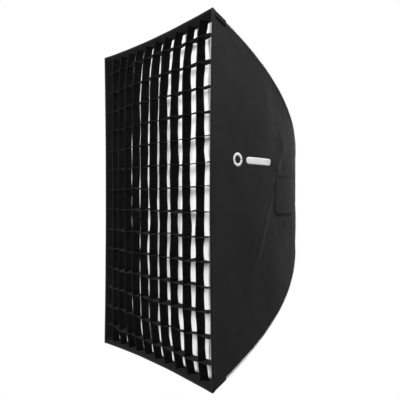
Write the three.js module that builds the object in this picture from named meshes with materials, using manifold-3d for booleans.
// Rectangular softbox with a fabric grid, set up on its speed ring. Millimetres, +Z up.
// The open front faces -Y. The origin is the centre of the seat that meets the lamp head.
import * as THREE from 'three';
import { mergeVertices } from 'three/addons/utils/BufferGeometryUtils.js';
import Module from 'manifold-3d';

// Driving dimensions
const FRONT_WIDTH = 800;
const FRONT_HEIGHT = 1200;
const BOW_LENGTH = 634; // depth at which the bowed outline would close to a point
const BOW_POWER = 0.42;
const SHELL_DEPTH = 608; // from the front rim to the shell's rear hem
const SEAT_DEPTH = 633; // from the front rim to the lamp seat
const RIM_SAG = 12; // how far the middle of each front edge is pulled in
const SAG_DEPTH = 260; // depth over which that pull dies out
const GAP = 0.3;
const CLOTH = 1.6;
const PIPING_RADIUS = 2.5;
const SEAM = 2 * PIPING_RADIUS + 2 * GAP; // a panel's edge to the corner line

const GRID_DEPTH = 35;
const GRID_FRONT = 1;
const GRID_CLOTH = 1.2;
const GRID_COLUMNS = 10;
const GRID_ROWS = 14;
const GRID_SWELL = 28; // how far the slack grid bows forward of the rim at its middle
const DIFFUSER_DEPTH = 38;
const LIP = { front: 40, rear: 57 }; // tape behind the diffuser, inside the rim
const BINDING = { front: -4, rear: -1, width: 6.3 }; // folded cloth along the rim's front edge
const BORDER_CLOTH = 1.5;
const BAFFLE_DEPTH = 300;
const BAFFLE_WIDTH = 500;
const BAFFLE_HEIGHT = 800;
const STRAP_WIDTH = 20;

const ROD_RADIUS = 3;
const ROD_INSET = 11; // rod centre to each panel's outer face
const ROD_FRONT = 89; // behind the lip's tape, with room for the tip and pocket
const ROD_REAR_SHARE = 0.3; // where a rod leaves the shell for its socket
const TIP = { neck: 4.5, radius: 5, shoulder: 3, taper: 12, nose: 3.5, noseStart: 15, length: 16 };
const POCKET = { outer: 7.5, inner: 5.6, rear: -8, side: 17, end: 18, insideSide: 15.4, insideEnd: 16.4 };
const SOCKET = { radius: 7, depth: 598, start: 1.5, floor: 3.5, length: 26, play: 0.8 };
const ROD_IN_SOCKET = [12, 0, -10, -22]; // the rod's straight end, from the socket's mouth inwards

const RING_OUTER = 78;
const RING_INNER = 66;
const RING_FRONT = 587;
const RING_REAR = 629;
const COLLAR_INNER = 44;
const COLLAR_OUTER = 50;
const KNOB_RADIUS = 9;
const KNOB_DEPTH = 622;
const KNOB_HEIGHT = 14;
const KNOB_START = RING_OUTER + 10;
const BOSS = { radius: 6.5, from: 70, to: 86 };
const FLUTES = 8;
const FLUTE_DEPTH = 0.9;
const SCREW_RADIUS = 3;
const FLANGE = { radius: 82, front: 614.5, rear: 617.5 };
const SLEEVE_RADIUS = RING_INNER - 0.5;
const SEAT_RADIUS = 76;
const SEAT_FRONT = RING_REAR + 0.6; // clears the ring, so that the insert turns freely
const COLLAR_REAR = SEAT_DEPTH + 12;
const WEB_REAR = RING_FRONT + 20;
const LUG = { radius: 54.5, front: SEAT_DEPTH + 6, rear: SEAT_DEPTH + 11, turn: Math.PI * 2 / 9, count: 3 };
const RETAINER = { inner: 56, outer: 72, front: RING_FRONT - 4, rear: RING_FRONT - 0.9 };

const FLAP = { front: 350, rear: 495, low: -50, high: 90, thickness: 2.2, lift: 0.5 };
const HOLE = { front: 375, rear: 470, low: -25, high: 65 };

const wasm = await Module();
wasm.setup();

// Materials
const look = (color, roughness, metalness = 0) => () =>
  new THREE.MeshStandardMaterial({ color, roughness, metalness });
const blackCloth = look(0x1c1c1d, 0.85);
const greyCloth = look(0x8c8c8e, 0.6);
const whiteCloth = look(0xf2f2f0, 0.9);
const blackMetal = look(0x202124, 0.45, 0.6);
const silverMetal = look(0xa9abae, 0.35, 0.9);
const rodFinish = look(0x2a2b2e, 0.35, 0.2);
const blackPlastic = look(0x18181a, 0.55);

const softbox = new THREE.Group();

function add(name, geometry, material, parent = softbox) {
  const mesh = new THREE.Mesh(geometry, material());
  mesh.name = name;
  parent.add(mesh);
  return mesh;
}

// The bowed outline: its half sizes as a share of the front's, and back again
const shareAt = (depth) => (1 - Math.max(depth, 0) / BOW_LENGTH) ** BOW_POWER;
const depthAt = (share) => BOW_LENGTH * (1 - share ** (1 / BOW_POWER));
const halfWidth = (depth) => (FRONT_WIDTH / 2) * shareAt(depth);
const halfHeight = (depth) => (FRONT_HEIGHT / 2) * shareAt(depth);
const toY = (depth) => depth - SEAT_DEPTH;
const sagAt = (depth, across) =>
  RIM_SAG * (1 - across * across) * Math.max(0, 1 - Math.max(depth, 0) / SAG_DEPTH) ** 2;

// Outward normals of the side and top surfaces in the depth direction, as [out, back]
function slopeNormal(half, depth) {
  const step = 1;
  const from = Math.max(depth, 0);
  const fall = (half(from) - half(from + step)) / step;
  const length = Math.hypot(1, fall);
  return [1 / length, fall / length];
}

// A closed solid from an outer and an inner grid of points. keep(i, j) leaves out cells, and a
// grid whose last column repeats the first is a closed loop.
function sheetSolid(outer, inner, keep = () => true, looped = false) {
  const rows = outer.length;
  const columns = outer[0].length;
  const points = [...outer.flat(), ...inner.flat()];
  const shift = rows * columns;
  const at = (i, j) => i * columns + j;
  const kept = (i, j) => i >= 0 && j >= 0 && i < rows - 1 && j < columns - 1 && keep(i, j);
  const faces = [];
  const quad = (a, b, c, d) => faces.push(a, b, c, a, c, d);
  for (let i = 0; i < rows - 1; i++) {
    for (let j = 0; j < columns - 1; j++) {
      if (!kept(i, j)) continue;
      const [a, b, c, d] = [at(i, j), at(i + 1, j), at(i + 1, j + 1), at(i, j + 1)];
      quad(a, b, c, d);
      quad(d + shift, c + shift, b + shift, a + shift);
      const walls = [[a, b, i, j - 1], [b, c, i + 1, j], [c, d, i, j + 1], [d, a, i - 1, j]];
      for (const [from, to, ni, nj] of walls) {
        const inLoop = looped ? (nj + columns - 1) % (columns - 1) : nj;
        if (!kept(ni, inLoop)) quad(to, from, from + shift, to + shift);
      }
    }
  }
  return facesOut(points, faces);
}

// An indexed geometry whose faces point out, with unused points left out
function facesOut(points, faces) {
  let volume = 0;
  for (let k = 0; k < faces.length; k += 3) {
    const [a, b, c] = [0, 1, 2].map((n) => new THREE.Vector3(...points[faces[k + n]]));
    volume += a.dot(b.cross(c));
  }
  const order = volume < 0 ? [0, 2, 1] : [0, 1, 2];
  const positions = [];
  for (let k = 0; k < faces.length; k += 3) {
    for (const n of order) positions.push(...points[faces[k + n]]);
  }
  const geometry = new THREE.BufferGeometry();
  geometry.setAttribute('position', new THREE.Float32BufferAttribute(positions, 3));
  return mergeVertices(geometry);
}

// A frame-shaped solid between an outer and an inner loop of [x, z], from one depth to another
function loopSolid(outerLoops, innerLoops) {
  const close = (loops) => loops.map((loop) => [...loop, loop[0]]);
  return sheetSolid(close(outerLoops), close(innerLoops), () => true, true);
}

const spaced = (from, to, count) =>
  Array.from({ length: count + 1 }, (_, k) => from + ((to - from) * k) / count);

// Shell panels: along the depth each follows the bow, and across it is straight but for the sag
function panelPoint(side, depth, across, lift) {
  const upright = side === 'side';
  const half = upright ? halfWidth : halfHeight;
  const other = upright ? halfHeight : halfWidth;
  const [out, back] = slopeNormal(half, depth);
  const distance = half(depth) - sagAt(depth, across) + lift * out;
  const along = across * (other(depth) - SEAM);
  const y = toY(depth) + lift * back;
  return upright ? [distance, y, along] : [along, y, distance];
}

function panel(side, sign, depths, acrossAt, keep) {
  const grid = (lift) =>
    depths.map((depth) =>
      acrossAt(depth).map((across) => {
        const [x, y, z] = panelPoint(side, depth, across, lift);
        return side === 'side' ? [sign * x, y, z] : [x, y, sign * z];
      }),
    );
  return sheetSolid(grid(0), grid(-CLOTH), keep);
}

const shares = spaced(shareAt(GAP), shareAt(SHELL_DEPTH), 14);
const panelDepths = shares.map(depthAt);
const evenAcross = () => spaced(-1, 1, 6);
for (const [name, side, sign] of [
  ['shell_panel_left', 'side', -1],
  ['shell_panel_top', 'top', 1],
  ['shell_panel_bottom', 'top', -1],
]) {
  add(name, panel(side, sign, panelDepths, evenAcross), blackCloth);
}

// The right panel has an access hole, so the hole's edges are grid lines
const holeDepths = [HOLE.front, (HOLE.front + HOLE.rear) / 2, HOLE.rear];
const clearOfHole = panelDepths.filter(
  (depth) => depth < HOLE.front - 10 || depth > HOLE.rear + 10,
);
const rightDepths = [...clearOfHole, ...holeDepths].sort((a, b) => a - b);
const holeAcross = (depth) => {
  const reach = halfHeight(depth) - SEAM;
  const [low, high] = [HOLE.low / reach, HOLE.high / reach];
  return [-1, (low - 1) / 2, low, high, (high + 1) / 2, 1];
};
const inHole = (i, j) => j === 2 && holeDepths.slice(0, 2).includes(rightDepths[i]);
add(
  'shell_panel_right',
  panel('side', 1, rightDepths, holeAcross, (i, j) => !inHole(i, j)),
  blackCloth,
);

// Access flap over the hole, held along its rear edge
const flapDepths = spaced(FLAP.front, FLAP.rear, 5);
const flapGrid = (lift) =>
  flapDepths.map((depth) =>
    spaced(FLAP.low, FLAP.high, 2).map((z) => {
      const [x, y] = panelPoint('side', depth, 1, lift);
      return [x, y, z];
    }),
  );
add(
  'access_flap',
  sheetSolid(flapGrid(FLAP.lift + FLAP.thickness), flapGrid(FLAP.lift)),
  blackCloth,
);

// Corner lines: a point held inside both panels' outer faces by an inset
function cornerPoint(share, inset, signX, signZ) {
  const depth = depthAt(share);
  const [sideOut, sideBack] = slopeNormal(halfWidth, depth);
  const [topOut, topBack] = slopeNormal(halfHeight, depth);
  const push = inset / (1 + sideBack * topBack);
  return new THREE.Vector3(
    signX * (halfWidth(depth) - push * sideOut),
    toY(depth) - push * (sideBack + topBack),
    signZ * (halfHeight(depth) - push * topOut),
  );
}

function tube(curve, radius, steps, sides = 8) {
  const section = new THREE.Shape(
    Array.from({ length: sides }, (_, k) => {
      const angle = (2 * Math.PI * k) / sides;
      return new THREE.Vector2(radius * Math.cos(angle), radius * Math.sin(angle));
    }),
  );
  return new THREE.ExtrudeGeometry(section, { steps, extrudePath: curve, bevelEnabled: false });
}

// A solid turned about a line from one point towards another
function turned(profile, segments, from, towards) {
  const geometry = new THREE.LatheGeometry(
    profile.map(([r, h]) => new THREE.Vector2(r, h)),
    segments,
  );
  const direction = towards.clone().sub(from).normalize();
  const turn = new THREE.Quaternion().setFromUnitVectors(new THREE.Vector3(0, 1, 0), direction);
  return geometry.applyQuaternion(turn).translate(from.x, from.y, from.z);
}

const CORNERS = [
  ['top_right', 1, 1],
  ['top_left', -1, 1],
  ['bottom_right', 1, -1],
  ['bottom_left', -1, -1],
];
const diagonal = Math.hypot(FRONT_WIDTH, FRONT_HEIGHT);

for (const [corner, signX, signZ] of CORNERS) {
  // Piping sewn into the corner seam
  const seam = spaced(shareAt(2), shareAt(SHELL_DEPTH - 2), 12).map((share) =>
    cornerPoint(share, PIPING_RADIUS, signX, signZ),
  );
  const piping = tube(new THREE.CatmullRomCurve3(seam), PIPING_RADIUS, 18, 6);
  add(`seam_piping_${corner}`, piping, greyCloth);

  // Sprung rod from the corner pocket to its socket on the ring
  const outwards = new THREE.Vector3(signX * FRONT_WIDTH, 0, signZ * FRONT_HEIGHT).divideScalar(diagonal);
  const onRing = (radius) => outwards.clone().multiplyScalar(radius).setY(toY(SOCKET.depth));
  const bend = spaced(shareAt(ROD_FRONT), ROD_REAR_SHARE, 10).map((share) =>
    cornerPoint(share, ROD_INSET, signX, signZ),
  );
  const straight = ROD_IN_SOCKET.map((past) => onRing(RING_OUTER + SOCKET.length + past));
  const rodPath = [...bend, ...straight];
  add(`rod_${corner}`, tube(new THREE.CatmullRomCurve3(rodPath), ROD_RADIUS, 22, 8), rodFinish);

  // Plastic tip on the rod's front end, inside a sewn pocket
  const start = rodPath[0];
  const ahead = start.clone().add(start.clone().sub(rodPath[1]).normalize());
  const tip = [
    [0, GAP], [TIP.neck, GAP], [TIP.radius, TIP.shoulder], [TIP.radius, TIP.taper],
    [TIP.nose, TIP.noseStart], [0, TIP.length],
  ];
  add(`rod_tip_${corner}`, turned(tip, 12, start, ahead), blackPlastic);
  const pocket = [
    [POCKET.outer, POCKET.rear], [POCKET.outer, POCKET.side], [0, POCKET.end],
    [0, POCKET.insideEnd], [POCKET.inner, POCKET.insideSide], [POCKET.inner, POCKET.rear],
    [POCKET.outer, POCKET.rear],
  ];
  add(`corner_pocket_${corner}`, turned(pocket, 12, start, ahead), blackCloth);

  // Socket on the ring's wall
  const bore = ROD_RADIUS + SOCKET.play;
  const socket = [
    [0, SOCKET.start], [SOCKET.radius, SOCKET.start], [SOCKET.radius, SOCKET.length],
    [bore, SOCKET.length], [bore, SOCKET.floor], [0, SOCKET.floor],
  ];
  const onWall = turned(socket, 12, onRing(RING_OUTER), onRing(RING_OUTER + 1));
  add(`rod_socket_${corner}`, onWall, blackPlastic);
}

// Rectangular loops that follow the rim, pulled in by an inset
function rimLoop(depth, inset, steps = 6) {
  const x = halfWidth(depth) - inset;
  const z = halfHeight(depth) - inset;
  const y = toY(depth);
  const side = spaced(-1, 1, steps).slice(0, -1);
  const sag = (across) => sagAt(depth, across);
  return [
    ...side.map((v) => [x - sag(v), y, v * z]),
    ...side.map((v) => [-v * x, y, z - sag(v)]),
    ...side.map((v) => [-x + sag(v), y, -v * z]),
    ...side.map((v) => [v * x, y, -z + sag(v)]),
  ];
}

function rimBand(frontDepth, rearDepth, inset, thickness) {
  const loop = (depth, extra) => rimLoop(depth, inset + extra);
  const loops = (extra) => [loop(frontDepth, extra), loop(rearDepth, extra)];
  return loopSolid(loops(0), loops(thickness));
}

const INSIDE_PIPING = PIPING_RADIUS * 2 + 2 * GAP; // how far in from the rim the inner pieces start
add('front_binding', rimBand(BINDING.front, BINDING.rear, 0, BINDING.width), blackCloth);
add('lip_hook_tape', rimBand(LIP.front, LIP.rear, INSIDE_PIPING, GRID_CLOTH), blackCloth);
const border = rimBand(GRID_FRONT, GRID_FRONT + GRID_DEPTH, INSIDE_PIPING, BORDER_CLOTH);
add('grid_border', border, blackCloth);

// Grid strips, half-lapped where they cross: uprights are slotted from behind, rails from the front
function swellAt(x, z) {
  const across = 1 - Math.abs(x / (FRONT_WIDTH / 2 - RIM_SAG)) ** 2.5;
  const along = 1 - (z / (FRONT_HEIGHT / 2 - RIM_SAG)) ** 6;
  return GRID_SWELL * Math.max(across, 0) * Math.max(along, 0);
}

function stripShape(reach, crossings, fromBehind, swell) {
  const middle = GRID_DEPTH / 2;
  const slot = GRID_CLOTH / 2 + GAP;
  const deep = fromBehind ? middle - GAP / 2 : middle + GAP / 2;
  const [open, shut] = fromBehind ? [GRID_DEPTH, 0] : [0, GRID_DEPTH];
  const outline = [];
  const corner = (along, depth, at = along) => {
    outline.push(new THREE.Vector2(along, depth - swell(at)));
  };
  corner(-reach, shut);
  corner(-reach, open);
  for (const at of crossings) {
    corner(at - slot, open, at);
    corner(at - slot, deep, at);
    corner(at + slot, deep, at);
    corner(at + slot, open, at);
  }
  corner(reach, open);
  corner(reach, shut);
  for (const at of [...crossings].reverse()) {
    corner(at, shut);
  }
  const strip = new THREE.ExtrudeGeometry(new THREE.Shape(outline), {
    depth: GRID_CLOTH, bevelEnabled: false,
  });
  return strip.translate(0, 0, -GRID_CLOTH / 2);
}

const innerReach = (half, across) =>
  half(GRID_FRONT + GRID_DEPTH) - INSIDE_PIPING - BORDER_CLOTH - GAP - sagAt(0, across);
const evenly = (size, count) =>
  Array.from({ length: count }, (_, i) => size * ((i + 1) / (count + 1) - 0.5));
const columns = evenly(FRONT_WIDTH, GRID_COLUMNS);
const rows = evenly(FRONT_HEIGHT, GRID_ROWS);
const pad = (i) => String(i + 1).padStart(2, '0');
const standUp = new THREE.Matrix4().makeBasis(
  new THREE.Vector3(0, 0, 1), new THREE.Vector3(0, 1, 0), new THREE.Vector3(-1, 0, 0),
);
columns.forEach((x, i) => {
  const reach = innerReach(halfHeight, x / (FRONT_WIDTH / 2));
  const strip = stripShape(reach, rows, true, (z) => swellAt(x, z)).applyMatrix4(standUp);
  add(`grid_upright_${pad(i)}`, strip, blackCloth).position.set(x, toY(GRID_FRONT), 0);
});
rows.forEach((z, i) => {
  const reach = innerReach(halfWidth, z / (FRONT_HEIGHT / 2));
  const strip = stripShape(reach, columns, false, (x) => swellAt(x, z));
  add(`grid_rail_${pad(i)}`, strip, blackCloth).position.set(0, toY(GRID_FRONT), z);
});

// A flat sheet across the box, from an outline of [x, z]
function flatSheet(outline, depth, thickness) {
  const shape = new THREE.Shape(outline.map(([x, z]) => new THREE.Vector2(x, z)));
  const geometry = new THREE.ExtrudeGeometry(shape, { depth: thickness, bevelEnabled: false });
  return geometry.rotateX(Math.PI / 2).translate(0, toY(depth) + thickness, 0);
}

const diffuserOutline = rimLoop(LIP.front, INSIDE_PIPING).map(([x, , z]) => [x, z]);
add('front_diffuser', flatSheet(diffuserOutline, DIFFUSER_DEPTH, CLOTH), whiteCloth);

// Inner baffle: a smaller sheet with an elastic strap from each corner to its rod
const rodAtBaffle = cornerPoint(shareAt(BAFFLE_DEPTH), ROD_INSET, 1, 1);
const strapEnd = [rodAtBaffle.x - 5, rodAtBaffle.z - 5];
const [bx, bz] = [BAFFLE_WIDTH / 2, BAFFLE_HEIGHT / 2];
const strapHalf = STRAP_WIDTH / 2;
const quarter = [
  [bx, bz - STRAP_WIDTH], [strapEnd[0], strapEnd[1] - strapHalf], [strapEnd[0] - strapHalf, strapEnd[1]],
  [bx - STRAP_WIDTH, bz],
];
const flip = (list, sx, sz) => list.map(([x, z]) => [sx * x, sz * z]);
const baffleOutline = [
  ...quarter,
  ...flip(quarter, -1, 1).reverse(),
  ...flip(quarter, -1, -1),
  ...flip(quarter, 1, -1).reverse(),
];
add('inner_baffle', flatSheet(baffleOutline, BAFFLE_DEPTH, CLOTH), whiteCloth);

// Rear skirt: from the shell's rectangular hem to a round edge at the ring
const SKIRT_OVERLAP = 1; // how far it stands inside the hem, and outside the ring
const SKIRT_FRONT = SHELL_DEPTH + 2;
const SKIRT_FALL = 3;

function skirtLoops(lift) {
  const stepsPerSide = 8;
  const rim = [
    halfWidth(SHELL_DEPTH) - lift - SKIRT_OVERLAP, halfHeight(SHELL_DEPTH) - lift - SKIRT_OVERLAP,
  ];
  const ring = RING_OUTER + SKIRT_OVERLAP;
  return spaced(0, 1, 4).map((along) => {
    const depth = SKIRT_FRONT + SKIRT_FALL * (1 - (1 - along) ** 2) - lift;
    const loop = [];
    for (let corner = 0; corner < 4; corner++) {
      const turn = (corner * Math.PI) / 2;
      const [hx, hz] = corner % 2 ? [rim[1], rim[0]] : rim;
      for (const v of spaced(-1, 1, stepsPerSide).slice(0, -1)) {
        const angle = (v * Math.PI) / 4;
        const x = hx + (ring * Math.cos(angle) - hx) * along;
        const z = v * hz + (ring * Math.sin(angle) - v * hz) * along;
        loop.push([
          x * Math.cos(turn) - z * Math.sin(turn),
          toY(depth),
          x * Math.sin(turn) + z * Math.cos(turn),
        ]);
      }
    }
    return loop;
  });
}
add('rear_skirt', loopSolid(skirtLoops(0), skirtLoops(CLOTH)), blackCloth);

// Joins and cuts
function solidOf(geometry) {
  const bare = geometry.clone();
  bare.deleteAttribute('normal');
  bare.deleteAttribute('uv');
  const merged = mergeVertices(bare, 1e-3);
  return new wasm.Manifold(
    new wasm.Mesh({
      numProp: 3,
      vertProperties: new Float32Array(merged.attributes.position.array),
      triVerts: new Uint32Array(merged.index.array),
    }),
  );
}

function geometryOf(solid) {
  const { vertProperties, triVerts } = solid.getMesh();
  const geometry = new THREE.BufferGeometry();
  geometry.setAttribute('position', new THREE.BufferAttribute(vertProperties, 3));
  geometry.setIndex(new THREE.BufferAttribute(triVerts, 1));
  return geometry;
}

// Speed ring and the insert that turns in it, both turned about the Y axis from [radius, depth] points
const aboutAxis = (profile, segments = 36) => {
  const start = new THREE.Vector3(0, toY(0), 0);
  return solidOf(turned([...profile, profile[0]], segments, start, new THREE.Vector3(0, toY(1), 0)));
};
const ringWall = aboutAxis([
  [RING_INNER, RING_FRONT], [RING_OUTER, RING_FRONT], [RING_OUTER, FLANGE.front],
  [FLANGE.radius, FLANGE.front], [FLANGE.radius, FLANGE.rear], [RING_OUTER, FLANGE.rear],
  [RING_OUTER, RING_REAR], [RING_INNER, RING_REAR],
]);
const below = (radius) => new THREE.Vector3(0, toY(KNOB_DEPTH), -radius);
const rodBelow = (from, to, radius, segments = 16) => {
  const profile = [[0, 0], [radius, 0], [radius, to - from], [0, to - from]];
  return solidOf(turned(profile, segments, below(from), below(to)));
};
const boss = rodBelow(BOSS.from, BOSS.to, BOSS.radius);
const screwHole = rodBelow(RING_INNER - 5, RING_OUTER + 12, SCREW_RADIUS + GAP);
add('speed_ring', geometryOf(ringWall.add(boss).subtract(screwHole)), blackMetal);

const sleeve = aboutAxis([
  [COLLAR_OUTER, RING_FRONT - GAP], [SLEEVE_RADIUS, RING_FRONT - GAP], [SLEEVE_RADIUS, SEAT_FRONT],
  [SEAT_RADIUS, SEAT_FRONT], [SEAT_RADIUS, SEAT_DEPTH], [COLLAR_OUTER, SEAT_DEPTH],
  [COLLAR_OUTER, COLLAR_REAR], [COLLAR_INNER, COLLAR_REAR], [COLLAR_INNER, WEB_REAR],
  [COLLAR_OUTER, WEB_REAR],
]);

// A block bent about the Y axis, from one angle through a turn
function bentBlock(inner, outer, front, rear, angle, turn) {
  const steps = 4;
  const points = spaced(angle, angle + turn, steps).flatMap((a) =>
    [[inner, front], [outer, front], [outer, rear], [inner, rear]].map(([r, depth]) => [
      r * Math.sin(a), toY(depth), r * Math.cos(a),
    ]),
  );
  const faces = [];
  for (let k = 0; k < steps; k++) {
    for (let n = 0; n < 4; n++) {
      const [a, b] = [4 * k + n, 4 * k + ((n + 1) % 4)];
      faces.push(a, b, b + 4, a, b + 4, a + 4);
    }
  }
  const last = 4 * steps;
  faces.push(0, 2, 1, 0, 3, 2, last, last + 1, last + 2, last, last + 2, last + 3);
  return solidOf(facesOut(points, faces));
}
const lugs = Array.from({ length: LUG.count }, (_, k) => {
  const angle = (k * 2 * Math.PI) / LUG.count;
  return bentBlock(COLLAR_OUTER - 1, LUG.radius, LUG.front, LUG.rear, angle, LUG.turn);
});
const insert = lugs.reduce((whole, lug) => whole.add(lug), sleeve);
add('ring_insert', geometryOf(insert), silverMetal);

const retainer = aboutAxis([
  [RETAINER.inner, RETAINER.front], [RETAINER.outer, RETAINER.front],
  [RETAINER.outer, RETAINER.rear], [RETAINER.inner, RETAINER.rear],
]);
add('retaining_ring', geometryOf(retainer), silverMetal);

// Clamping knob: a fluted head on a screw that bears on the insert
const knobOutline = Array.from({ length: FLUTES * 4 }, (_, k) => {
  const angle = (2 * Math.PI * k) / (FLUTES * 4);
  const radius = KNOB_RADIUS + FLUTE_DEPTH * (Math.cos(FLUTES * angle) - 1);
  return new THREE.Vector2(radius * Math.cos(angle), radius * Math.sin(angle));
});
const head = new THREE.ExtrudeGeometry(new THREE.Shape(knobOutline), {
  depth: KNOB_HEIGHT, bevelEnabled: false,
});
head.rotateX(Math.PI).translate(0, toY(KNOB_DEPTH), -KNOB_START);
const screw = rodBelow(RING_INNER + GAP, KNOB_START + 2, SCREW_RADIUS, 12);
add('lock_knob', geometryOf(solidOf(head).add(screw)), blackPlastic);

export default softbox;
